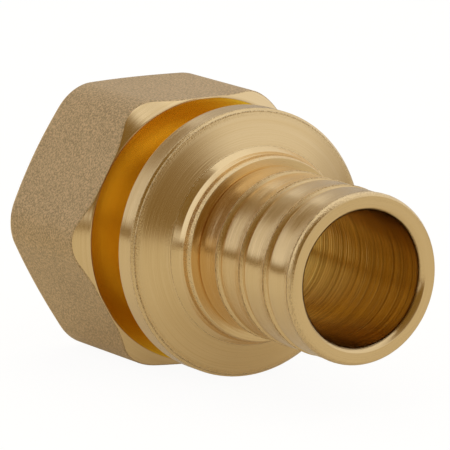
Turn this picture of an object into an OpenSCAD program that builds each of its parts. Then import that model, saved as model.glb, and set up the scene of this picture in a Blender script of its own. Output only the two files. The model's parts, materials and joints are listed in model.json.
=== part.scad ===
// Pipe adapter, forged and turned in one piece.
// A ribbed spigot takes a plastic pipe, a collar backs the sleeve that is pushed over it,
// and a hexagon holds a female pipe thread. The fitting lies on one flat of the hexagon.
// The axis runs along +X, from the thread to the spigot. X = 0 is the face that stops the pipe.

/* [Spigot] */
// Diameter of the long land of each rib
land_d = 19.86; // [19.4:0.02:20]
// Diameter at the raised front edge of each rib
crest_d = 20.04; // [20:0.02:20.4]
// Diameter at the bottom of the grooves between the ribs
groove_d = 18.96; // [18.4:0.02:19.2]
// Number of ribs
rib_count = 4; // [1:1:6]
// Distance from one rib's front edge to the next
rib_pitch = 5; // [3.5:0.1:8]
// Distance from the pipe stop to the first rib's front edge
first_crest_x = 4; // [3:0.1:8]
// Length of the flare that leads up to each rib's front edge
flare_l = 1; // [0.4:0.1:1.4]
// Width of the narrow crest along each rib's front edge
crest_w = 0.12; // [0.06:0.02:0.3]
// Length of the rounded rise at the rear of each rib
rise_l = 0.75; // [0.4:0.05:1]
// Axial length of the steep face in front of each rib
slope_l = 0.3; // [0.1:0.05:0.4]
// Width of the flat bottom of each groove
floor_w = 0.2; // [0.1:0.05:0.4]
// Length of the rounded nose, from the last rib's front edge to the end face
nose_l = 0.8; // [0.3:0.05:0.85]
// Radius of the rounded nose
nose_r = 1.05; // [0.9:0.05:1.4]

/* [Water way] */
// Diameter of the bore through the spigot
bore_d = 15.7; // [12:0.1:16]
// Width of the round lip at the bore's mouth, measured along the end face
lip_w = 0.62; // [0.2:0.02:0.7]
// Length of the round lip at the bore's mouth, measured along the axis
lip_l = 0.82; // [0.2:0.02:1.5]
// Radius of the lip's rounding
lip_r = 1.14; // [0.86:0.02:3]

/* [Pipe stop] */
// Diameter of the stop boss near its front edge
boss_d = 22.1; // [21.6:0.1:22.6]
// Diameter of the stop boss where it meets the collar
boss_base_d = 23.06; // [22.8:0.02:24]
// Length of the straight part of the boss, its edge chamfer included
boss_straight_l = 1.28; // [0.8:0.02:2]
// Length of the steep cone behind the straight part. A gentler one leads on to the collar
boss_cone_l = 1.16; // [0.2:0.02:1.6]
// Angle between the steep cone and the axis
boss_cone_angle = 15.5; // [5:0.5:22]
// Length of the chamfer on the boss's front edge
boss_edge_l = 0.5; // [0.2:0.05:0.7]
// Drop of the chamfer on the boss's front edge
boss_edge_drop = 0.2; // [0.1:0.05:0.4]

/* [Collar] */
// Diameter of the collar
collar_d = 32; // [30:0.1:34]
// Distance from the pipe stop back to the collar's face at the boss
collar_face_x = 3.64; // [3:0.02:6]
// Fall of the collar's conical face from the boss to the rim
collar_fall = 0.98; // [0.2:0.02:1.5]
// Chamfer on the collar's front edge
collar_edge = 0.34; // [0.1:0.02:0.5]
// Chamfer on the collar's rear edge
collar_back_edge = 0.12; // [0.05:0.01:0.4]
// Width of the plain rim
rim_w = 2.64; // [1.5:0.02:5]

/* [Neck] */
// Diameter of the neck between the collar and the hexagon
neck_d = 22; // [21:0.1:25]
// Width of the groove between the collar and the hexagon
neck_w = 6.18; // [4.5:0.02:10]
// Radius of the fillets at both ends of the neck
neck_fillet = 0.8; // [0.4:0.1:1.5]

/* [Hexagon] */
// Distance across the flats
across_flats = 32; // [31:0.1:36]
// Radius of the forged corners
corner_r = 5.15; // [2:0.05:7]
// Length of the hexagon
hex_l = 16.82; // [16:0.02:22]
// Angle between the turned front cone and the axis
front_angle = 41.3; // [30:0.1:60]
// How far the front cone starts outside the flats
front_start = 0.05; // [0.02:0.01:0.2]
// Angle between the turned rear chamfer and the end face
rear_angle = 25.6; // [15:0.1:45]
// How far the rear chamfer starts inside the flats
rear_start = 0.3; // [0.1:0.05:1]

/* [Female thread] */
// Greatest diameter of the thread
thread_d = 26.44; // [24:0.02:27]
// Diameter of the hole drilled for the thread
tap_d = 24.12; // [22:0.02:24.4]
// Depth of the thread, its entry chamfer included
thread_l = 12.6; // [9:0.1:13.5]
// Depth of the tapping hole, up to its drill cone
tap_l = 14; // [13.6:0.1:14.4]
// Width of the thread's entry chamfer
entry_w = 0.65; // [0.3:0.05:1]
// Length of the thread's entry chamfer
entry_l = 0.65; // [0.3:0.05:1]
// Angle of the drill cone, from side to side
drill_angle = 120; // [110:1:130]

/* [Hidden] */
$fn = 96;
brass = [0.76, 0.60, 0.35];
// Segments in one rounded stretch of the profile
arc_steps = 8;
// Segments in one forged corner of the hexagon
corner_steps = 12;
// Overlap of shapes that are joined, and overshoot of shapes that are cut
lap = 1;

land_r = land_d / 2;
crest_r = crest_d / 2;
groove_r = groove_d / 2;
boss_r = boss_d / 2;
collar_r = collar_d / 2;
neck_r = neck_d / 2;
flat_r = across_flats / 2;

collar_front_x = -collar_face_x - collar_fall - collar_edge;
collar_back_x = collar_front_x - rim_w - collar_back_edge;
hex_front_x = collar_back_x - neck_w;
hex_back_x = hex_front_x - hex_l;
hex_corner_reach = (flat_r - corner_r) / cos(30) + corner_r;

// Points of an arc about [x, y], from angle a to angle b
function arc(x, y, size, a, b, steps = arc_steps) =
    [for (i = [0 : steps]) let (t = a + (b - a) * i / steps) [x + size * cos(t), y + size * sin(t)]];

// Points of an arc from p to q, with its centre on the left of the way from p to q
function bow(p, q, size) =
    let (chord = norm(q - p),
        along = (q - p) / chord,
        deep = sqrt(size * size - chord * chord / 4),
        middle = (p + q) / 2 + deep * [-along[1], along[0]],
        half = asin(chord / 2 / size),
        down = atan2(along[1], along[0]) - 90)
    arc(middle[0], middle[1], size, down - half, down + half);

// A rib, from the foot of its rounded rear edge at x = start to the rear of its crest
function rib(start, crest) = concat(
    [for (i = [0 : arc_steps]) let (t = 90 * i / arc_steps)
        [start + rise_l * (1 - cos(t)), groove_r + (land_r - groove_r) * sin(t)]],
    [[crest - flare_l, land_r], [crest - crest_w, crest_r]]);

// Steep face in front of a crest
function steep_face(crest) = [[crest, crest_r], [crest + slope_l, groove_r]];

function crest_x(i) = first_crest_x + i * rib_pitch;
function rib_start(i) = i == 0 ? 0 : crest_x(i - 1) + slope_l + floor_w;

last_crest_x = crest_x(rib_count - 1);
spigot_l = last_crest_x + nose_l;

neck_profile = concat(
    [[hex_front_x - lap, neck_r + neck_fillet]],
    arc(hex_front_x + neck_fillet, neck_r + neck_fillet, neck_fillet, 180, 270),
    arc(collar_back_x - neck_fillet, neck_r + neck_fillet, neck_fillet, 270, 360));

collar_profile = [
    [collar_back_x, collar_r - collar_back_edge],
    [collar_back_x + collar_back_edge, collar_r],
    [collar_front_x, collar_r],
    [collar_front_x + collar_edge, collar_r - collar_edge]];

boss_profile = [
    [-collar_face_x, boss_base_d / 2],
    [-boss_straight_l - boss_cone_l, boss_r + boss_cone_l * tan(boss_cone_angle)],
    [-boss_straight_l, boss_r],
    [-boss_edge_l, boss_r],
    [0, boss_r - boss_edge_drop]];

ribs_profile = [for (i = [0 : rib_count - 1])
    each concat(rib(rib_start(i), crest_x(i)), i < rib_count - 1 ? steep_face(crest_x(i)) : [])];

nose_profile = arc(last_crest_x, crest_r - nose_r, nose_r, 90, 90 - asin(nose_l / nose_r));

// Turns a profile of [x, radius] points about the X axis
module turned(points) {
    rotate([0, 90, 0])
        rotate_extrude()
            polygon([for (p = points) [p[1], p[0]]]);
}

module turned_blank() {
    turned(concat(
        [[hex_front_x - lap, 0]],
        neck_profile, collar_profile, boss_profile, ribs_profile, nose_profile,
        [[spigot_l, 0]]));
}

// Section of the forging: flats joined by round corners, with one flat facing down
module hex_section() {
    reach = (flat_r - corner_r) / cos(30);
    polygon([for (corner = [0 : 60 : 300]) each
        arc(reach * cos(corner), reach * sin(corner), corner_r, corner - 30, corner + 30, corner_steps)]);
}

// Round envelope that cuts the front cone and the rear chamfer on the hexagon
module hex_envelope() {
    out_r = hex_corner_reach + lap;
    front_r = flat_r + front_start;
    rear_r = flat_r - rear_start;
    turned([
        [hex_back_x, 0],
        [hex_back_x, rear_r],
        [hex_back_x + (out_r - rear_r) * tan(rear_angle), out_r],
        [hex_front_x - (out_r - front_r) / tan(front_angle), out_r],
        [hex_front_x, front_r],
        [hex_front_x, 0]]);
}

module hexagon() {
    intersection() {
        translate([hex_back_x - lap, 0, 0])
            rotate([90, 0, 90])
                linear_extrude(hex_l + 2 * lap) hex_section();
        hex_envelope();
    }
}

// Thread hole, drill cone and water way, cut through the whole length
module hollow() {
    bore_r = bore_d / 2;
    thread_r = thread_d / 2;
    tap_r = tap_d / 2;
    mouth_r = thread_r + entry_w;
    tap_end_x = hex_back_x + tap_l;
    turned(concat(
        [[hex_back_x - lap, 0],
        [hex_back_x - lap, mouth_r],
        [hex_back_x, mouth_r],
        [hex_back_x + entry_l, thread_r],
        [hex_back_x + thread_l, thread_r],
        [hex_back_x + thread_l, tap_r],
        [tap_end_x, tap_r],
        [tap_end_x + (tap_r - bore_r) / tan(drill_angle / 2), bore_r]],
        bow([spigot_l - lip_l, bore_r], [spigot_l, bore_r + lip_w], lip_r),
        [[spigot_l + lap, bore_r + lip_w],
        [spigot_l + lap, 0]]));
}

module adapter_body() {
    color(brass)
        difference() {
            union() {
                turned_blank();
                hexagon();
            }
            hollow();
        }
}

adapter_body();
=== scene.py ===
"""Looks of the threaded pipe adapter: a brass forging with a hexagon, turned to a collar, a ribbed
spigot and a threaded socket. Four meshes keep the form of the solid, apart from a steeper foot of
its stop boss and a steeper collar face, and add what it leaves out: the thread's ridge, the broken
edges, the burrs on the ribs and the grain of the forging."""

import json
import math

import bmesh
import bpy
import numpy as np
from bpy.props import FloatProperty, FloatVectorProperty, IntProperty
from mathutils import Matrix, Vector, noise


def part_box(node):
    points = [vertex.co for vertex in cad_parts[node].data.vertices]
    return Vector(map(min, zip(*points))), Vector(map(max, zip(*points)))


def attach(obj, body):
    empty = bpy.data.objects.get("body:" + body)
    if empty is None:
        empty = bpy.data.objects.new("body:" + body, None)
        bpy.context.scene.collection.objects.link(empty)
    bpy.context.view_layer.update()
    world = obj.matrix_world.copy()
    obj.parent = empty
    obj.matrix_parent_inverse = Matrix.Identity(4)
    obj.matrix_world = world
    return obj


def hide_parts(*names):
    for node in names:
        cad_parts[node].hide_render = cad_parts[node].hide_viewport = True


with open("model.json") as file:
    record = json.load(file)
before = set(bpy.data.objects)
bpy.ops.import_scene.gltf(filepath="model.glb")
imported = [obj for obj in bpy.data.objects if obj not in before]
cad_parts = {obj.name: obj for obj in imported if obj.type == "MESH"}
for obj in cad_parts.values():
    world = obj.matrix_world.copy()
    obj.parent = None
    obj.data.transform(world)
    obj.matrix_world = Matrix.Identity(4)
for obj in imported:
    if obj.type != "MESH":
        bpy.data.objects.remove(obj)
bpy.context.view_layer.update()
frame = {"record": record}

bl_info = {
    "name": "Threaded pipe adapter",
    "version": (1, 0, 0),
    "blender": (4, 5, 0),
    "location": "3D View > Sidebar > Pipe adapter",
    "description": "Builds a forged and turned brass pipe adapter and the light it stands in",
    "category": "Object",
}

NODE = "adapter_body"
MM = 0.001
MICRON = 1e-6
END_LOW, END_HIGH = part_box(NODE)
MOUNTS = {mount["name"]: mount for mount in frame["record"]["mounts"]}
# A corner that turns more than this is eased. Most steps of a round stretch turn less
SHARP = math.radians(11.5)
# Rows across an eased corner and its guards, as shares of the easing's width
CORNER_ROWS = (-1.1, -0.5, -0.17, 0.17, 0.5, 1.1)
# Places that are averaged to ease one point
EASING_SAMPLES = 13
# Vertices closer than this are merged, and edges shorter than this are dissolved, in metres
MERGE_DISTANCE = 1e-7
SHORTEST_EDGE = 1e-8
# Edges that turn more than this are shaded sharp
CREASE = math.radians(60)
# Radii that differ by less than this are the same, in metres
SAME_RADIUS = 1e-6
# A hexagon's corners are this far apart, and its flats lie half of it from them
CORNER_STEP = math.radians(60)
FLAT_TURN = CORNER_STEP / 2
# Lumps of the burrs, as (size, place in the noise, share of the burr's height): a fine and a coarse
# one move the metal in and out, and a third moves it along the axis
BURR_LUMPS = ((0.22 * MM, 3.1, 0.6), (0.5 * MM, 7.7, 0.4))
BURR_SLIDE = (0.3 * MM, 11.3, 0.5)
# Vertices with a smaller weight than this have no burr
LEAST_BURR = 0.02


def mount_radius(name):
    """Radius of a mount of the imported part, in metres."""
    return MOUNTS[name]["dims"]["r_mm"] * MM


def length(name, description, default):
    """A length property. The default is given in millimetres."""
    return FloatProperty(name=name, description=description, default=default * MM, unit="LENGTH",
                         subtype="DISTANCE", precision=5)


def angle(name, description, default):
    """An angle property. The default is given in degrees."""
    return FloatProperty(name=name, description=description, default=math.radians(default),
                         unit="ROTATION", subtype="ANGLE")


def colour(name, description, default):
    """A linear colour property."""
    return FloatVectorProperty(name=name, description=description, default=default, min=0, max=1,
                               size=3, subtype="COLOR")


class SpigotSizes(bpy.types.PropertyGroup):
    """Sizes of the ribbed spigot and its mouth."""

    land_r: length("Land radius", "Radius of the long land of each rib", 9.93)
    groove_r: length("Groove radius", "Radius at the bottom of the grooves between the ribs", 9.48)
    rib_count: IntProperty(name="Ribs", description="Number of ribs", default=4, min=1, max=6)
    rib_pitch: length("Rib pitch", "Distance from one rib's front edge to the next", 5)
    first_crest_x: length("First crest", "Distance from the pipe stop to the first crest", 4)
    flare_l: length("Flare", "Length of the flare that leads up to each crest", 1)
    crest_w: length("Crest width", "Width of the narrow crest of each rib", 0.12)
    rise_l: length("Rise", "Length of the rounded rise at the rear of each rib", 0.75)
    slope_l: length("Slope", "Axial length of the steep face in front of each rib", 0.3)
    floor_w: length("Groove floor", "Width of the flat bottom of each groove", 0.2)
    nose_r: length("Nose radius", "Radius of the rounded nose", 1.05)
    lip_w: length("Lip width", "Width of the round lip at the bore's mouth", 0.62)
    lip_l: length("Lip length", "Axial length of the round lip at the bore's mouth", 0.82)
    lip_r: length("Lip radius", "Radius of the lip's rounding", 1.14)


class CollarSizes(bpy.types.PropertyGroup):
    """Sizes of the stop boss, the collar and the neck."""

    boss_r: length("Boss radius", "Radius of the stop boss near its front edge", 11.05)
    boss_base_r: length("Boss base radius", "Radius of the boss where it meets the collar", 11.80)
    boss_base_x: length("Boss base", "Distance from the pipe stop to the boss's base", 2.9)
    boss_straight_l: length("Boss straight", "Length of the straight part of the boss", 1.28)
    boss_cone_l: length("Boss cone", "Length of the first cone behind the straight part", 0.74)
    boss_cone_angle: angle("Boss cone angle", "Angle between the first cone and the axis", 18)
    boss_edge_l: length("Boss edge length", "Length of the chamfer on the boss", 0.5)
    boss_edge_drop: length("Boss edge drop", "Drop of the chamfer on the boss", 0.2)
    collar_r: length("Collar radius", "Radius of the collar", 16)
    rim_x: length("Rim", "Distance from the pipe stop to the collar's rim", 4.96)
    collar_edge: length("Collar front edge", "Chamfer on the collar's front edge", 0.34)
    collar_back_edge: length("Collar rear edge", "Chamfer on the collar's rear edge", 0.12)
    rim_w: length("Rim width", "Width of the collar's plain rim", 2.64)
    neck_r: length("Neck radius", "Radius of the neck behind the collar", 11)
    neck_w: length("Neck width", "Width of the groove behind the collar", 6.18)
    neck_fillet: length("Neck fillet", "Radius of the fillets at both ends of the neck", 0.8)


class HexagonSizes(bpy.types.PropertyGroup):
    """Sizes of the forged hexagon and the threaded socket."""

    corner_r: length("Corner radius", "Radius of the forged corners", 5.15)
    front_angle: angle("Front angle", "Angle between the front cone and the axis", 41.3)
    front_start: length("Front start", "How far the front cone starts outside the flats", 0.05)
    rear_angle: angle("Rear angle", "Angle between the rear chamfer and the end face", 25.6)
    rear_start: length("Rear start", "How far the rear chamfer starts inside the flats", 0.3)
    tap_r: length("Tapping radius", "Radius of the hole drilled for the thread", 12.06)
    thread_l: length("Thread depth", "Depth of the thread, its entry chamfer included", 12.6)
    tap_l: length("Tapping depth", "Depth of the tapping hole, up to its drill cone", 14)
    entry_w: length("Entry width", "Width of the thread's entry chamfer", 0.65)
    entry_l: length("Entry length", "Length of the thread's entry chamfer", 0.65)
    drill_angle: angle("Drill angle", "Angle of the drill cone, from side to side", 120)
    thread_pitch: length("Thread pitch", "Distance from one turn of the thread to the next", 1.814)


class SurfaceSizes(bpy.types.PropertyGroup):
    """Sizes of what the tools left on the surface."""

    edge_w: length("Edge width", "Width over which a turned corner is eased", 0.1)
    forged_edge_w: length("Forged edge width", "Width over which the hexagon's edges are eased", 0.2)
    burr_h: length("Burr height", "Height of the burrs on the crests", 0.03)
    burr_w: length("Burr width", "Width of the ragged strip along each worked edge", 0.1)


class BrassColours(bpy.types.PropertyGroup):
    """Colours of the brass."""

    bright: colour("Turned", "Freshly turned brass", (0.84, 0.64, 0.36))
    deep: colour("Turned, deep", "Turned brass where the tool's marks are deeper",
                 (0.76, 0.55, 0.27))
    # The groove's two colours are brass deepened to orange: a painted reflection between the collar's
    # back face and the hexagon's front face, on top of the brass and its marks
    inner: colour("Groove", "The hexagon's face in the groove behind the collar",
                  (1.0, 0.67, 0.06))
    inner_deep_painted_reflection: colour("Groove, deep", "Deeper marks in the groove", (0.88, 0.53, 0.03))
    blasted: colour("Blasted", "Shot-blasted skin of the forging", (0.80, 0.59, 0.34))
    blasted_dark: colour("Blasted, dark", "Pits in the shot-blasted skin", (0.40, 0.285, 0.15))
    # The bore's two colours are brass darkened to brown: painted shade and painted reflection inside
    # the bore, on top of the brass and its marks
    bore_painted_shade: colour("Bored", "Brass inside the bore", (0.74, 0.485, 0.11))
    bore_deep_painted_shade: colour("Bored, deep", "Deeper marks inside the bore", (0.42, 0.245, 0.03))
    smear: colour("Smeared", "Smeared metal along worked edges", (0.34, 0.25, 0.14))


class StageSettings(bpy.types.PropertyGroup):
    """Camera, floor and light tent."""

    azimuth: angle("Azimuth", "Camera's angle round the fitting, 0 looks along +Y", 57.66)
    elevation: angle("Elevation", "Camera's angle above the horizon", 11.46)
    distance: length("Distance", "From the camera to the point it aims at", 622.5)
    lens: FloatProperty(name="Lens", description="Focal length on a 36 mm sensor", default=427.4,
                        unit="CAMERA")
    aim: FloatVectorProperty(name="Aim", description="Point that the camera looks at", size=3,
                             default=(-3.28 * MM, -4.10 * MM, 2.84 * MM), unit="LENGTH")
    floor_size: length("Floor", "Side of the floor", 2400)
    floor_colour: colour("Floor colour", "Pale paper that the fitting lies on", (0.65, 0.59, 0.465))
    tent_r: length("Tent radius", "Radius of the light tent", 300)
    tent_dark: colour("Tent opening", "What shows through the tent's open side", (0.22, 0.14, 0.04))
    tent_cloth: colour("Tent cloth", "Cloth of the tent at its brightest", (1.0, 1.0, 1.0))


def smooth(value, low, high):
    """0 below low and 1 above high, with a smooth step between them."""
    t = np.clip((value - low) / (high - low), 0, 1)
    return t * t * (3 - 2 * t)


def arc(x, r, size, first, last, steps=8):
    """Points of an arc about (x, r), from one angle to another, in degrees."""
    turns = np.radians(np.linspace(first, last, steps + 1))
    return list(zip(x + size * np.cos(turns), r + size * np.sin(turns)))


def bow(start, end, size, steps=8):
    """Points of an arc between two points, with its centre on the left of the way."""
    start, end = np.array(start), np.array(end)
    chord = np.hypot(*(end - start))
    along = (end - start) / chord
    deep = math.sqrt(size ** 2 - chord ** 2 / 4)
    middle = (start + end) / 2 + deep * np.array([-along[1], along[0]])
    half = math.degrees(math.asin(chord / 2 / size))
    down = math.degrees(math.atan2(along[1], along[0])) - 90
    return arc(*middle, size, down - half, down + half, steps)


def line_reach(corners):
    """Distance along a line of corners, from its start to each corner."""
    return np.concatenate([[0], np.cumsum(np.hypot(*np.diff(np.array(corners), axis=0).T))])


def eased(corners, places, width):
    """Points at places along a line of corners, with each corner eased over a width."""
    corners = np.array(corners)
    near = np.asarray(places)[:, None] + width * np.linspace(-0.5, 0.5, EASING_SAMPLES)
    points = [np.interp(near, line_reach(corners), corners[:, k]).mean(1) for k in (0, 1)]
    points = np.stack(points, 1)
    points[[0, -1]] = corners[[0, -1]]
    return points


def turned_rows(corners, width, longest):
    """Points of a profile with eased corners and no stretch longer than longest."""
    reach = line_reach(corners)
    steps = np.diff(np.array(corners), axis=0)
    turns = np.abs(np.diff(np.unwrap(np.arctan2(steps[:, 1], steps[:, 0]))))
    places = [reach[0], *reach[1:-1][turns < SHARP], reach[-1]]
    for corner in reach[1:-1][turns >= SHARP]:
        places += [corner + width * share for share in CORNER_ROWS]
    places = np.unique(np.round(places, 8))
    places = places[(places >= 0) & (places <= reach[-1])]
    more = [np.linspace(a, b, math.ceil((b - a) / longest) + 1)[1:-1]
            for a, b in zip(places, places[1:])]
    return eased(corners, np.sort(np.concatenate([places, *more])), width)


def turn_round(profile, columns):
    """Vertices of a profile of (x, r) turned about X, as an array of rows by columns by 3."""
    turns = np.arange(columns) * math.tau / columns
    x, r = np.array(profile).T
    return np.stack([np.repeat(x[:, None], columns, 1), r[:, None] * np.cos(turns),
                     r[:, None] * np.sin(turns)], 2)


def speckle(points, size, seed):
    """Noise from -1 to 1 at each of some points."""
    return np.array([noise.noise(Vector((x + seed, y, z))) for x, y, z in (points / size).tolist()])


def push_out(vertices, near, push, slide=0.0):
    """Moves the chosen vertices away from the axis by push, and along it by slide."""
    chosen = vertices[near]
    r = np.hypot(chosen[:, 1], chosen[:, 2])
    chosen[:, 0] += slide
    chosen[:, 1:] *= ((r + push) / r)[:, None]
    vertices[near] = chosen


def ring_mesh(name, vertices, slots, burr=None):
    """Joins rows of vertices to one closed ring of quads, the last row to the first. slots gives
    each row's material, and burr how ragged the metal is at each vertex."""
    count, columns = vertices.shape[:2]
    i, j = np.meshgrid(np.arange(count), np.arange(columns), indexing="ij")
    i2, j2 = (i + 1) % count, (j + 1) % columns
    quads = np.stack([i * columns + j, i * columns + j2, i2 * columns + j2, i2 * columns + j], 2)
    mesh = bpy.data.meshes.new(name)
    mesh.from_pydata(vertices.reshape(-1, 3).tolist(), [], quads.reshape(-1, 4).tolist())
    if burr is not None:
        layer = mesh.attributes.new("burr", "FLOAT", "POINT")
        layer.data.foreach_set("value", np.ascontiguousarray(burr, np.float32).ravel())
    mesh.polygons.foreach_set("material_index", np.repeat(slots, columns).astype(np.int32))
    mesh.polygons.foreach_set("use_smooth", np.ones(count * columns, bool))
    return mesh


def finish_piece(mesh, materials):
    """Cleans a ring's mesh, turns its faces outwards and makes it a piece that rides on the body.
    Edges that stay sharp are the joints with the next piece."""
    for material in materials:
        mesh.materials.append(material)
    work = bmesh.new()
    work.from_mesh(mesh)
    bmesh.ops.remove_doubles(work, verts=work.verts, dist=MERGE_DISTANCE)
    bmesh.ops.dissolve_degenerate(work, edges=work.edges, dist=SHORTEST_EDGE)
    bmesh.ops.recalc_face_normals(work, faces=work.faces)
    if work.calc_volume(signed=True) < 0:
        bmesh.ops.reverse_faces(work, faces=work.faces)
    for edge in work.edges:
        edge.smooth = edge.calc_face_angle(0) < CREASE
    work.to_mesh(mesh)
    work.free()
    piece = bpy.data.objects.new(mesh.name, mesh)
    bpy.context.scene.collection.objects.link(piece)
    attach(piece, "root")
    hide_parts(NODE)
    return piece


def feed(tree, socket, value):
    """Sets a socket to a number or colour, or links it."""
    if isinstance(value, Value):
        tree.links.new(value.socket, socket)
    else:
        socket.default_value = value


def add_node(tree, kind, settings=None, **inputs):
    """Adds a node of a type, with its settings, and the values or links of its sockets."""
    node = tree.nodes.new(kind)
    for key, value in (settings or {}).items():
        setattr(node, key, value)
    for key, value in inputs.items():
        feed(tree, node.inputs[key.replace("_", " ")], value)
    return node


class Value:
    """A socket of a shader tree, with the arithmetic that the materials use."""

    def __init__(self, tree, socket):
        self.tree, self.socket = tree, socket

    def math(self, operation, *others):
        node = add_node(self.tree, "ShaderNodeMath", {"operation": operation})
        for socket, value in zip(node.inputs, (self, *others)):
            feed(self.tree, socket, value)
        return Value(self.tree, node.outputs[0])

    def __add__(self, other):
        return self.math("ADD", other)

    __radd__ = __add__

    def __mul__(self, other):
        return self.math("MULTIPLY", other)

    __rmul__ = __mul__

    def __truediv__(self, other):
        return self.math("DIVIDE", other)

    def __pow__(self, other):
        return self.math("POWER", other)

    def high(self, other):
        return self.math("MAXIMUM", other)

    def low(self, other):
        return self.math("MINIMUM", other)

    def step(self, low, high):
        """0 below low and 1 above high, with a smooth step between them."""
        node = add_node(self.tree, "ShaderNodeMapRange", {"interpolation_type": "SMOOTHSTEP"},
                        Value=self, From_Min=low, From_Max=high)
        return Value(self.tree, node.outputs[0])


class Shader:
    """A material under construction: its tree, its place coordinates and its nodes."""

    def __init__(self, name):
        self.material = bpy.data.materials.new(name)
        self.material.use_nodes = True
        self.tree = self.material.node_tree
        self.surface = self.tree.nodes["Principled BSDF"]
        place = add_node(self.tree, "ShaderNodeTexCoord")
        self.place = Value(self.tree, place.outputs["Object"])
        parts = add_node(self.tree, "ShaderNodeSeparateXYZ", Vector=self.place)
        self.x, self.y, self.z = (Value(self.tree, socket) / MM for socket in parts.outputs)
        self.r = (self.y * self.y + self.z * self.z) ** 0.5

    def attribute(self, name):
        node = add_node(self.tree, "ShaderNodeAttribute", {"attribute_name": name})
        return Value(self.tree, node.outputs["Fac"])

    def vector(self, x, y, z):
        node = add_node(self.tree, "ShaderNodeCombineXYZ", X=x, Y=y, Z=z)
        return Value(self.tree, node.outputs[0])

    def noise(self, vector, scale, detail=2.0, roughness=0.5):
        node = add_node(self.tree, "ShaderNodeTexNoise", Vector=vector, Scale=scale,
                        Detail=detail, Roughness=roughness)
        return Value(self.tree, node.outputs["Fac"])

    def mix(self, factor, first, second):
        node = add_node(self.tree, "ShaderNodeMix", {"data_type": "RGBA"})
        feed(self.tree, node.inputs["Factor"], factor)
        feed(self.tree, node.inputs[6], colour_value(first))
        feed(self.tree, node.inputs[7], colour_value(second))
        return Value(self.tree, node.outputs[2])

    def bump(self, height, distance):
        node = add_node(self.tree, "ShaderNodeBump", Height=height, Distance=distance)
        return Value(self.tree, node.outputs[0])

    def set(self, **inputs):
        for key, value in inputs.items():
            feed(self.tree, self.surface.inputs[key.replace("_", " ")], value)


def colour_value(value):
    """A colour property as four numbers. A link stays as it is."""
    return value if isinstance(value, Value) else (*value, 1.0)


# Each turned finish: its two colours, the height of its marks in micrometres, its roughness, how
# much of the deeper colour its rings take, and about how many rings there are to a millimetre
TURNED_FINISHES = {
    "turned_brass": ("bright", "deep", 15.0, 0.14, 0.4, 9.0),
    "faced_brass": ("bright", "deep", 20.0, 0.17, 0.6, 9.0),
    # The groove's colours hold a painted reflection as well as the brass and its marks
    "groove_brass_painted_reflection": ("inner", "inner_deep_painted_reflection", 8.0, 0.2, 0.4, 9.0),
    # The bore's colours hold painted shade and painted reflection as well as the brass and its marks
    "bored_brass_painted_shade": ("bore_painted_shade", "bore_deep_painted_shade", 26.0, 0.2, 0.7, 4.5),
}
# Lathe marks: how far rings and broad bands wander on their way round, and how much a step in radius
# counts beside a step along the axis
RING_WANDER = 0.12
BAND_WANDER = 0.3
FACE_STRETCH = 1.7
# Noises, as (scale, detail, roughness). The bands' scale is per millimetre, the others' per metre
BAND_NOISE = (1.1, 2.0, 0.5)
PATCH_NOISE = (220.0, 2.0, 0.5)
SPECK_NOISE = (5200.0, 2.0, 0.6)
DENT_NOISE = (4200.0, 3.0, 0.7)
TONE_NOISE = (160.0, 3.0, 0.5)
# Where each noise turns from one look to the other
RING_COLOUR_STEP = (0.35, 0.75)
RING_DULL_STEP = (0.3, 0.8)
BAND_STEP = (0.3, 0.8)
SPECK_STEP = (0.46, 0.62)
DENT_STEP = (0.38, 0.62)
# Shares of the deeper colour in the bands and of the smeared colour in the dirt
BAND_SHARE = 0.25
DIRT_SHARE = 0.7
# Roughness that rings, patches and ragged metal add, and how high the ragged metal is beside the rings
RING_DULL = 0.05
PATCH_DULL = 0.04
BURR_DULL = 0.2
BURR_BUMP = 8.0
# The forging's skin: its least roughness, what its dents add, their share of its colour, which slow
# patches have the rest of, and the dents' depth in metres
SKIN_ROUGHNESS = 0.36
DENT_DULL = 0.14
DENT_SHARE = 0.8
DENT_DEPTH = 1.3e-4


def lathe_marks(shader, wander):
    """Coordinates in which a turned surface's marks are long: they change fast along the profile,
    and slowly round the axis."""
    round_y, round_z = shader.y / shader.r * wander, shader.z / shader.r * wander
    return shader.vector(shader.x + shader.r * FACE_STRETCH, round_y, round_z)


def turned_brass(name, bright, deep, mark_h, roughness, ring_share, ring_scale):
    """Bright brass with the fine rings of a lathe tool, and smeared metal where burr is set."""
    shader = Shader(name)
    burr = shader.attribute("burr")
    rings = shader.noise(lathe_marks(shader, RING_WANDER), ring_scale, detail=1.0)
    bands = shader.noise(lathe_marks(shader, BAND_WANDER), *BAND_NOISE)
    patches = shader.noise(shader.place, *PATCH_NOISE)
    specks = shader.noise(shader.place, *SPECK_NOISE)
    dirt = (burr * specks.step(*SPECK_STEP)).low(1.0)
    marks = rings.step(*RING_COLOUR_STEP) * ring_share + bands.step(*BAND_STEP) * BAND_SHARE
    base = shader.mix(marks, bright, deep)
    base = shader.mix(dirt * DIRT_SHARE, base, bpy.context.scene.brass_colours.smear)
    height = rings + specks * burr * BURR_BUMP
    shader.set(Base_Color=base, Metallic=1.0,
               Roughness=roughness + rings.step(*RING_DULL_STEP) * RING_DULL
               + patches * PATCH_DULL + (dirt + burr) * BURR_DULL,
               Normal=shader.bump(height, MICRON * mark_h))
    return shader.material


def blasted_brass(name):
    """The forging's skin after shot-blasting: dull, dented all over and a little uneven in colour."""
    colours = bpy.context.scene.brass_colours
    shader = Shader(name)
    dents = shader.noise(shader.place, *DENT_NOISE)
    patches = shader.noise(shader.place, *TONE_NOISE)
    light = dents.step(*DENT_STEP) * DENT_SHARE + patches * (1 - DENT_SHARE)
    base = shader.mix(light, colours.blasted_dark, colours.blasted)
    shader.set(Base_Color=base, Metallic=1.0, Roughness=SKIN_ROUGHNESS + dents * DENT_DULL,
               Normal=shader.bump(dents, DENT_DEPTH))
    return shader.material


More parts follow.
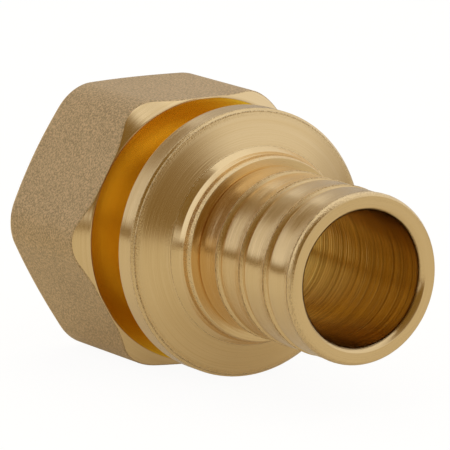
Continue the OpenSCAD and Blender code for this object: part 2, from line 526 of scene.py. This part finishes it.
def brass(name):
    """One of the fitting's finishes by name, made when it is first asked for."""
    made = bpy.data.materials.get(name)
    if made:
        return made
    if name == "blasted_brass":
        return blasted_brass(name)
    colours = bpy.context.scene.brass_colours
    bright, deep, *marks = TURNED_FINISHES[name]
    return turned_brass(name, getattr(colours, bright), getattr(colours, deep), *marks)


def crest_places(spigot):
    """Axial places of the crests' front edges."""
    return [spigot.first_crest_x + i * spigot.rib_pitch for i in range(spigot.rib_count)]


def rib_profile(spigot, crest_r):
    """Corners of the ribs, from the pipe stop to the last crest."""
    points, start = [], 0.0
    crests = crest_places(spigot)
    for crest in crests:
        rise = spigot.land_r - spigot.groove_r
        points += [(start + spigot.rise_l * (1 - across), spigot.groove_r + rise * up)
                   for across, up in arc(0, 0, 1, 0, 90)]
        points += [(crest - spigot.flare_l, spigot.land_r), (crest - spigot.crest_w, crest_r),
                   (crest, crest_r)]
        if crest != crests[-1]:
            start = crest + spigot.slope_l + spigot.floor_w
            points += [(crest + spigot.slope_l, spigot.groove_r)]
    return points


def burr_weight(vertices, edges, width):
    """How near each vertex is to one of the worked edges, given as (x, r, strength, widening)."""
    x, r = vertices[..., 0], np.hypot(vertices[..., 1], vertices[..., 2])
    weight = np.zeros(x.shape)
    for edge_x, edge_r, strength, wide in edges:
        away = np.hypot(x - edge_x, r - edge_r) / (width * wide)
        weight = np.maximum(weight, strength * np.exp(-away ** 2))
    return weight


def add_burrs(vertices, weight, height):
    """Pushes the vertices along worked edges in and out."""
    near = weight > LEAST_BURR
    chosen = vertices[near]
    lumps = sum(speckle(chosen, size, seed) * share for size, seed, share in BURR_LUMPS)
    size, seed, share = BURR_SLIDE
    slide = speckle(chosen, size, seed) * share
    push_out(vertices, near, height * weight[near] * lumps, height * weight[near] * slide)


class ADAPTER_OT_spigot(bpy.types.Operator):
    """Adds the ribbed spigot"""

    bl_idname = "adapter.spigot"
    bl_label = "Ribbed spigot"
    columns = 440
    longest = 0.9 * MM
    # Strength of the burrs on the crests, and strength and widening of the worn lip and nose
    crest_burr = 1.0
    lip_burr = (0.06, 4.0)
    nose_burr = (0.5, 4.0)
    # Worn place on the nose, as shares of its radius: behind the end, and under the crest
    nose_back = 0.3
    nose_drop = 0.1

    def execute(self, context):
        spigot, surface = context.scene.spigot_sizes, context.scene.surface_sizes
        bore_r, crest_r = mount_radius("through_bore"), mount_radius("pipe_spigot")
        end_x = END_HIGH.x
        last = crest_places(spigot)[-1]
        nose_turn = math.degrees(math.asin((end_x - last) / spigot.nose_r))
        corners = [(0.0, bore_r), *rib_profile(spigot, crest_r),
                   *arc(last, crest_r - spigot.nose_r, spigot.nose_r, 90, 90 - nose_turn)[1:],
                   *bow((end_x - spigot.lip_l, bore_r), (end_x, bore_r + spigot.lip_w),
                        spigot.lip_r)[::-1], (0.0, bore_r)]
        profile = turned_rows(corners, surface.edge_w, self.longest)[:-1]
        vertices = turn_round(profile, self.columns)
        edges = [(x, crest_r, self.crest_burr, 1.0) for x in crest_places(spigot)]
        edges += [(end_x - spigot.lip_l / 2, bore_r + spigot.lip_w / 2, *self.lip_burr),
                  (end_x - self.nose_back * spigot.nose_r,
                   crest_r - self.nose_drop * spigot.nose_r, *self.nose_burr)]
        weight = burr_weight(vertices, edges, surface.burr_w)
        add_burrs(vertices, weight, surface.burr_h)
        # The bore's rows take the second finish, whose colour holds painted shade and painted
        # reflection
        slots = (profile[:, 1] < bore_r + SAME_RADIUS).astype(int)
        mesh = ring_mesh("ribbed_spigot", vertices, slots, weight)
        finish_piece(mesh, [brass("turned_brass"), brass("bored_brass_painted_shade")])
        return {"FINISHED"}


def collar_places(collar):
    """Axial places of the collar's front and rear and of the hexagon's front."""
    front = -collar.rim_x
    back = front - collar.rim_w - collar.collar_back_edge
    return front, back, back - collar.neck_w


class ADAPTER_OT_collar(bpy.types.Operator):
    """Adds the neck, the collar and the stop boss"""

    bl_idname = "adapter.collar"
    bl_label = "Turned collar"
    columns = 720
    longest = 0.8 * MM
    # Height of the burrs as a share of those on the crests
    burr_share = 0.7
    # Strength and widening of the burrs at the boss's foot, the rim's front edge, the outer edge of
    # the collar's face, and the boss's chamfer and wall
    foot_burr = (0.5, 0.8)
    rim_burr = (0.5, 1.0)
    face_burr = (0.9, 1.0)
    edge_burr = (1.0, 1.5)
    wall_burr = (0.6, 3.5)

    def execute(self, context):
        collar, surface = context.scene.collar_sizes, context.scene.surface_sizes
        bore_r = mount_radius("through_bore")
        front, back, hexagon = collar_places(collar)
        fillet, foot = collar.neck_fillet, collar.neck_r + collar.neck_fillet
        corners = [(hexagon, bore_r),
                   *arc(hexagon + fillet, foot, fillet, 180, 270),
                   *arc(back - fillet, foot, fillet, 270, 360),
                   (back, collar.collar_r - collar.collar_back_edge),
                   (back + collar.collar_back_edge, collar.collar_r),
                   (front, collar.collar_r),
                   (front + collar.collar_edge, collar.collar_r - collar.collar_edge),
                   (-collar.boss_base_x, collar.boss_base_r),
                   (-collar.boss_straight_l - collar.boss_cone_l,
                    collar.boss_r + collar.boss_cone_l * math.tan(collar.boss_cone_angle)),
                   (-collar.boss_straight_l, collar.boss_r),
                   (-collar.boss_edge_l, collar.boss_r),
                   (0.0, collar.boss_r - collar.boss_edge_drop),
                   (0.0, bore_r), (hexagon, bore_r)]
        profile = turned_rows(corners, surface.edge_w, self.longest)[:-1]
        vertices = turn_round(profile, self.columns)
        chamfer_r = collar.boss_r - collar.boss_edge_drop / 2
        wall_x = -(collar.boss_straight_l + collar.boss_edge_l) / 2
        edges = [(-collar.boss_base_x, collar.boss_base_r, *self.foot_burr),
                 (front, collar.collar_r, *self.rim_burr),
                 (front + collar.collar_edge, collar.collar_r - collar.collar_edge, *self.face_burr),
                 (-collar.boss_edge_l / 2, chamfer_r, *self.edge_burr),
                 (wall_x, collar.boss_r, *self.wall_burr)]
        weight = burr_weight(vertices, edges, surface.burr_w)
        add_burrs(vertices, weight, surface.burr_h * self.burr_share)
        x, r = profile.T
        # The bore's rows take the second finish, with painted shade and reflection, and those of the
        # collar's face the third
        face = (r > collar.boss_base_r) & (x > front)
        slots = np.select([r < bore_r + SAME_RADIUS, face], [1, 2], 0)
        mesh = ring_mesh("turned_collar", vertices, slots, weight)
        finish_piece(mesh, [brass("turned_brass"), brass("bored_brass_painted_shade"), brass("faced_brass")])
        return {"FINISHED"}


def hexagon_radius(turn, flat_r, corner_r):
    """Radius of the forging's section in one direction: flats joined by round corners."""
    from_corner = math.remainder(turn, CORNER_STEP)
    reach = (flat_r - corner_r) / math.cos(FLAT_TURN)
    tangent = math.atan2(corner_r / 2, reach + corner_r * math.cos(FLAT_TURN))
    if abs(from_corner) > tangent:
        return flat_r / math.cos(FLAT_TURN - abs(from_corner))
    side = reach * math.sin(from_corner)
    return reach * math.cos(from_corner) + math.sqrt(corner_r ** 2 - side ** 2)


class ADAPTER_OT_hexagon(bpy.types.Operator):
    """Adds the forged hexagon, up to the wall of its socket"""

    bl_idname = "adapter.hexagon"
    bl_label = "Forged hexagon"
    columns = 720
    longest = 1.5 * MM
    finishes = ("blasted_brass", "turned_brass", "bored_brass_painted_shade", "groove_brass_painted_reflection")
    # Places in finishes
    SKIN, TURNED, BORED, GROOVE = range(4)
    # Rows along each stretch of a column: front face, front cone, skin, rear chamfer, rear face
    stretch_rows = (5, 8, 52, 6, 2)
    stretch_slots = (GROOVE, TURNED, SKIN, TURNED, TURNED)
    corner_slots = (TURNED, SKIN, TURNED, TURNED)

    def execute(self, context):
        collar, hexagon = context.scene.collar_sizes, context.scene.hexagon_sizes
        surface = context.scene.surface_sizes
        bore_r, front_x, back_x = mount_radius("through_bore"), collar_places(collar)[2], END_LOW.x
        mouth_r = mount_radius("female_thread") + hexagon.entry_w
        foot = (front_x, collar.neck_r + collar.neck_fillet)
        thread_x, tap_x = back_x + hexagon.thread_l, back_x + hexagon.tap_l
        cone_x = tap_x + (hexagon.tap_r - bore_r) / math.tan(hexagon.drill_angle / 2)

        outside, slots = self.outside(foot, (back_x, mouth_r), hexagon, surface.forged_edge_w)
        inner_corners = [(back_x, mouth_r), (thread_x, mouth_r), (thread_x, hexagon.tap_r),
                         (tap_x, hexagon.tap_r), (cone_x, bore_r), (front_x, bore_r), foot]
        inside = turned_rows(inner_corners, surface.edge_w, self.longest)[1:-1]
        # Rows inside the foot's radius take the bore's finish, with its painted shade and reflection
        hidden = np.concatenate([[self.BORED],
                                 np.where(inside[:, 1] < foot[1], self.BORED, self.TURNED)])
        vertices = np.concatenate([outside, turn_round(inside, self.columns)])
        mesh = ring_mesh("forged_hexagon", vertices, np.concatenate([slots, hidden]))
        finish_piece(mesh, [brass(name) for name in self.finishes])
        return {"FINISHED"}

    def outside(self, foot, mouth, hexagon, width):
        """Rows of vertices from the foot of the front face to the socket's mouth, and the material
        of each row but the last."""
        flat_r = END_HIGH.z
        front_r, rear_r = flat_r + hexagon.front_start, flat_r - hexagon.rear_start
        front_x, back_x = foot[0], mouth[0]
        columns = []
        for turn in np.arange(self.columns) * math.tau / self.columns:
            skin_r = hexagon_radius(turn, flat_r, hexagon.corner_r)
            edge_r = min(front_r, skin_r)
            cut_x = front_x - (skin_r - edge_r) / math.tan(hexagon.front_angle)
            end_x = back_x + (skin_r - rear_r) * math.tan(hexagon.rear_angle)
            corners = [foot, (front_x, edge_r), (cut_x, skin_r), (end_x, skin_r), (back_x, rear_r),
                       mouth]
            x, r = eased(corners, self.places(line_reach(corners), width), width).T
            columns.append(np.stack([x, r * math.cos(turn), r * math.sin(turn)], 1))
        return np.stack(columns, 1), self.slots()

    def places(self, reach, width):
        """Places along one column of the outside, as many whatever its form."""
        middles = (reach[1:] + reach[:-1]) / 2
        guard = width * CORNER_ROWS[-1]
        places = [reach[0]]
        for k, rows in enumerate(self.stretch_rows):
            first = reach[k] + guard if k else reach[0]
            last = reach[k + 1] - guard if k + 2 < len(reach) else reach[-1]
            first, last = min(first, middles[k]), max(last, middles[k])
            places += list(np.linspace(first, last, rows + 1)[0 if k else 1:])
            if k + 2 < len(reach):
                after = middles[k + 1]
                places += [np.clip(reach[k + 1] + width * share, middles[k], after)
                           for share in CORNER_ROWS[1:-1]]
        return places

    def slots(self):
        """Material of each row: raw skin, turned, or the groove's wall, whose colour holds a painted
        reflection.
        """
        slots = []
        for k, rows in enumerate(self.stretch_rows):
            slots += [self.stretch_slots[k]] * (rows + (1 if k else 0))
            if k < len(self.corner_slots):
                slots += [self.corner_slots[k]] * (len(CORNER_ROWS) - 2)
        return np.array(slots)


class ADAPTER_OT_socket(bpy.types.Operator):
    """Adds the lining of the socket, with the ridge of its right-hand thread"""

    bl_idname = "adapter.socket"
    bl_label = "Threaded socket"
    columns = 360
    rows = 132
    # Where the ridge's flank starts and ends, as shares of the way from root to crest
    flank = (0.16, 0.84)
    # Angle between the axis and the cone in which the thread's root ends
    run_out = math.radians(40)

    def execute(self, context):
        hexagon = context.scene.hexagon_sizes
        back_x, root_r = END_LOW.x, mount_radius("female_thread")
        mouth_r, depth = root_r + hexagon.entry_w, hexagon.thread_l
        turns = np.arange(self.columns)[None] * math.tau / self.columns
        down = depth * np.arange(self.rows) / (self.rows - 1)
        down = down[:, None] * np.ones((1, self.columns))
        phase = (down / hexagon.thread_pitch + turns / math.tau) % 1
        ridge = smooth(np.abs(phase - 0.5) * 2, *self.flank)
        thread = root_r + (hexagon.tap_r - root_r) * ridge
        chamfer = mouth_r - down * hexagon.entry_w / hexagon.entry_l
        end_cone = hexagon.tap_r + (depth - down) * math.tan(self.run_out)
        r = np.minimum(np.maximum(thread, chamfer), np.maximum(end_cone, hexagon.tap_r))
        inner = np.stack([back_x + down, r * np.cos(turns), r * np.sin(turns)], 2)
        wall = turn_round([(back_x + depth, mouth_r), (back_x + depth / 2, mouth_r)],
                          self.columns)
        vertices = np.concatenate([inner, wall])
        mesh = ring_mesh("threaded_socket", vertices, np.zeros(len(vertices), int))
        finish_piece(mesh, [brass("turned_brass")])
        return {"FINISHED"}


# The tent's cloths: first and last degree round the fitting, lower and upper edge above the horizon,
# and how bright the cloth is. 0 degrees is along the spigot.
CLOTHS = ((92, 140, 7, 66, 0.84), (120, 200, 36, 66, 0.95), (140, 182, -9, 34, 0.36),
          (182, 218, -9, 34, 0.52), (218, 262, -9, 62, 0.9), (30, 330, 64, 90, 0.95),
          (52, 92, -9, 14, 0.52))
# The tent's open sides: degrees round the fitting, the opening's lower and upper edge above the
# horizon, how soft its lower edge is, and how open it is there
SIDE_OPENING = ((-190, 31, 40, 6, 0.92), (-170, 29, 44, 6, 0.92), (-159, 29, 45, 6, 0.92),
                (-150, 30, 42, 6, 0.92), (-144, 31, 38, 6, 0.92))
FRONT_OPENING = ((-98, 14, 78, 5, 1.0), (-80, 12, 78, 5, 1.0), (-67, 8, 72, 5, 1.0),
                 (-43, 0, 70, 3, 1.0), (-32, -3, 67, 3, 1.0), (-8, -5, 58, 3, 0.92),
                 (0, -5, 56, 3, 0.9), (11, -5, 52, 3, 0.34), (24, -5, 50, 3, 0.0),
                 (36, -5, 50, 3, 0.0))
# Brightness of the tent where no cloth hangs
BARE_LEVEL = 0.76
# Degrees over which a cloth's edges, an opening's sides and an opening's upper edge are soft
EDGE_SOFT = 4
TOP_SOFT = 3
# The tent's foot is dark on one side, given by its first and last degree, and dims elsewhere. Both
# have their level at the floor and the degrees above the horizon between which it rises to 1
DARK_SIDE = (147, 300)
DARK_FOOT = (0.03, 1.0, 6.0)
DIM_FOOT = (0.45, -2, 8)
# The openings' degrees run from a full turn below this one up to it
SEAM = 165
# Degrees between the tent's vertices: round it, low down, and above the degree where low down ends
TURN_STEP = 1.5
LOW_STEP = 0.8
HIGH_STEP = 2
LOW_RISE = 15
# What the floor shows to the camera and to gloss, as (ray, share of glow, tint, strength)
FLOOR_GLOWS = (("Is Camera Ray", 0.85, (1, 1, 1, 1), 1.1),
               ("Is Glossy Ray", 0.3, (0.96, 0.86, 0.67, 1), 1.0))
# The floor lies this far under the fitting
FLOOR_GAP = 0.01 * MM
# Strength of the background as a light on dull surfaces. The camera, gloss and glass see 1
WORLD_LEVEL = 0.8
# Width of the camera's sensor in millimetres, and the nearest and farthest it sees in metres
SENSOR_WIDTH = 36.0
NEAREST = 0.01
FARTHEST = 10.0


def window(value, low, high, soft):
    """1 between low and high and 0 outside, with soft edges."""
    return smooth(value, low - soft, low + soft) * (1 - smooth(value, high - soft, high + soft))


def tent_light(turn, rise):
    """How brightly the tent is lit, from 0 in its opening to 1, by degrees round the fitting and
    above the horizon."""
    light = np.full(turn.shape, BARE_LEVEL)
    for first, last, low, high, level in CLOTHS:
        covered = window(turn % 360, first, last, EDGE_SOFT) * window(rise, low, high, EDGE_SOFT)
        light += (level - light) * covered
    dark, dim = (level + (1 - level) * smooth(rise, low, high)
                 for level, low, high in (DARK_FOOT, DIM_FOOT))
    light *= np.where(window(turn % 360, *DARK_SIDE, EDGE_SOFT) > 0.5, dark, dim)
    side = np.where(turn > SEAM, turn - 360, turn)
    for opening in (SIDE_OPENING, FRONT_OPENING):
        places, *edges = np.array(opening).T
        low, high, soft, depth = (np.interp(side, places, edge) for edge in edges)
        above = smooth((rise - low) / soft, -1, 1)
        below = 1 - smooth(rise, high - TOP_SOFT, high + TOP_SOFT)
        light *= 1 - above * below * window(side, places[0], places[-1], EDGE_SOFT) * depth
    return light


class ADAPTER_OT_stage(bpy.types.Operator):
    """Adds the floor, the light tent and the camera"""

    bl_idname = "adapter.stage"
    bl_label = "Floor, light and camera"

    def execute(self, context):
        stage = context.scene.stage_settings
        self.add_floor(stage)
        self.add_tent(stage)
        self.add_world(context.scene)
        self.add_camera(context.scene, stage)
        context.scene.view_settings.view_transform = "Standard"
        return {"FINISHED"}

    def add_camera(self, scene, stage):
        data = bpy.data.cameras.new("camera")
        data.sensor_width, data.lens = SENSOR_WIDTH, stage.lens
        data.clip_start, data.clip_end = NEAREST, FARTHEST
        holder = bpy.data.objects.new("camera", data)
        scene.collection.objects.link(holder)
        back = Vector((math.sin(stage.azimuth) * math.cos(stage.elevation),
                       -math.cos(stage.azimuth) * math.cos(stage.elevation),
                       math.sin(stage.elevation)))
        holder.location = Vector(stage.aim) + back * stage.distance
        holder.rotation_euler = back.to_track_quat("Z", "Y").to_euler()
        scene.camera = holder

    def add_floor(self, stage):
        """A sheet of pale paper. The camera sees it nearly white, with the fitting's shadow."""
        mesh = bpy.data.meshes.new("floor")
        half, z = stage.floor_size / 2, END_LOW.z - FLOOR_GAP
        mesh.from_pydata([(-half, -half, z), (half, -half, z), (half, half, z), (-half, half, z)],
                         [], [(0, 1, 2, 3)])
        paint = bpy.data.materials.new("floor_paper")
        paint.use_nodes = True
        tree = paint.node_tree
        tree.nodes.clear()
        diffuse = add_node(tree, "ShaderNodeBsdfDiffuse", Color=(*stage.floor_colour, 1))
        path = add_node(tree, "ShaderNodeLightPath")
        shown = diffuse
        for ray, share, tint, strength in FLOOR_GLOWS:
            glow = add_node(tree, "ShaderNodeEmission", Color=tint, Strength=strength)
            mix = add_node(tree, "ShaderNodeMixShader")
            feed(tree, mix.inputs[0], Value(tree, path.outputs[ray]) * share)
            tree.links.new(shown.outputs[0], mix.inputs[1])
            tree.links.new(glow.outputs[0], mix.inputs[2])
            shown = mix
        out = add_node(tree, "ShaderNodeOutputMaterial")
        tree.links.new(shown.outputs[0], out.inputs[0])
        mesh.materials.append(paint)
        floor = bpy.data.objects.new("floor", mesh)
        bpy.context.scene.collection.objects.link(floor)

    def add_tent(self, stage):
        """A tent of white cloth round the fitting, with two open sides. Only gloss shows it."""
        foot = math.degrees(math.asin(END_LOW.z / stage.tent_r))
        rises = np.concatenate([np.arange(foot, LOW_RISE, LOW_STEP),
                                np.arange(LOW_RISE, 90, HIGH_STEP), [90]])
        turns = np.arange(-180, 180, TURN_STEP)
        turn, rise = np.meshgrid(turns, rises)
        level = np.cos(np.radians(rise))
        vertices = stage.tent_r * np.stack([level * np.cos(np.radians(turn)),
                                            level * np.sin(np.radians(turn)),
                                            np.sin(np.radians(rise))], 2)
        rows, columns = turn.shape
        i, j = np.meshgrid(np.arange(rows - 1), np.arange(columns), indexing="ij")
        j2 = (j + 1) % columns
        quads = np.stack([i * columns + j, i * columns + j2, (i + 1) * columns + j2,
                          (i + 1) * columns + j], 2)
        mesh = bpy.data.meshes.new("light_tent")
        mesh.from_pydata(vertices.reshape(-1, 3).tolist(), [], quads.reshape(-1, 4).tolist())
        light = tent_light(turn, rise)[..., None]
        dark, cloth = np.array(stage.tent_dark), np.array(stage.tent_cloth)
        colours = np.concatenate([dark + (cloth - dark) * light, np.ones((rows, columns, 1))], 2)
        layer = mesh.attributes.new("cloth", "FLOAT_COLOR", "POINT")
        layer.data.foreach_set("color", colours.astype(np.float32).ravel())
        glow = bpy.data.materials.new("tent_cloth")
        glow.use_nodes = True
        glow.cycles.emission_sampling = "NONE"
        tree = glow.node_tree
        tree.nodes.clear()
        shade = add_node(tree, "ShaderNodeAttribute", {"attribute_name": "cloth"})
        light = add_node(tree, "ShaderNodeEmission", Color=Value(tree, shade.outputs["Color"]))
        out = add_node(tree, "ShaderNodeOutputMaterial")
        tree.links.new(light.outputs[0], out.inputs[0])
        mesh.materials.append(glow)
        tent = bpy.data.objects.new("light_tent", mesh)
        bpy.context.scene.collection.objects.link(tent)
        tent.visible_camera = tent.visible_diffuse = tent.visible_shadow = False
        tent.visible_transmission = tent.visible_volume_scatter = False

    def add_world(self, scene):
        world = bpy.data.worlds.new("studio")
        world.use_nodes = True
        scene.world = world
        tree = world.node_tree
        background = tree.nodes["Background"]
        background.inputs["Color"].default_value = (1, 1, 1, 1)
        path = add_node(tree, "ShaderNodeLightPath")
        seen = Value(tree, path.outputs["Is Camera Ray"])
        for name in ("Is Glossy Ray", "Is Transmission Ray"):
            seen = seen.high(Value(tree, path.outputs[name]))
        feed(tree, background.inputs["Strength"], seen * (1 - WORLD_LEVEL) + WORLD_LEVEL)


class ADAPTER_PT_panel(bpy.types.Panel):
    """Lists the pieces of the fitting"""

    bl_label = "Pipe adapter"
    bl_space_type = "VIEW_3D"
    bl_region_type = "UI"
    bl_category = "Pipe adapter"

    def draw(self, context):
        for operator in OPERATORS:
            self.layout.operator(operator.bl_idname)
        for name in SETTINGS:
            box = self.layout.box()
            group = getattr(context.scene, name)
            for key in group.bl_rna.properties.keys():
                if key not in ("rna_type", "name"):
                    box.prop(group, key)


SETTINGS = {
    "spigot_sizes": SpigotSizes,
    "collar_sizes": CollarSizes,
    "hexagon_sizes": HexagonSizes,
    "surface_sizes": SurfaceSizes,
    "brass_colours": BrassColours,
    "stage_settings": StageSettings,
}
OPERATORS = (ADAPTER_OT_stage, ADAPTER_OT_spigot, ADAPTER_OT_collar, ADAPTER_OT_hexagon,
             ADAPTER_OT_socket)


def register():
    for item in (*SETTINGS.values(), *OPERATORS, ADAPTER_PT_panel):
        bpy.utils.register_class(item)
    for name, group in SETTINGS.items():
        setattr(bpy.types.Scene, name, bpy.props.PointerProperty(type=group))


def unregister():
    for name in SETTINGS:
        delattr(bpy.types.Scene, name)
    for item in reversed((*SETTINGS.values(), *OPERATORS, ADAPTER_PT_panel)):
        bpy.utils.unregister_class(item)


def main():
    """Builds the stage and the pieces."""
    register()
    bpy.ops.adapter.stage()
    bpy.ops.adapter.spigot()
    bpy.ops.adapter.collar()
    bpy.ops.adapter.hexagon()
    bpy.ops.adapter.socket()


if __name__ == "__main__":
    main()
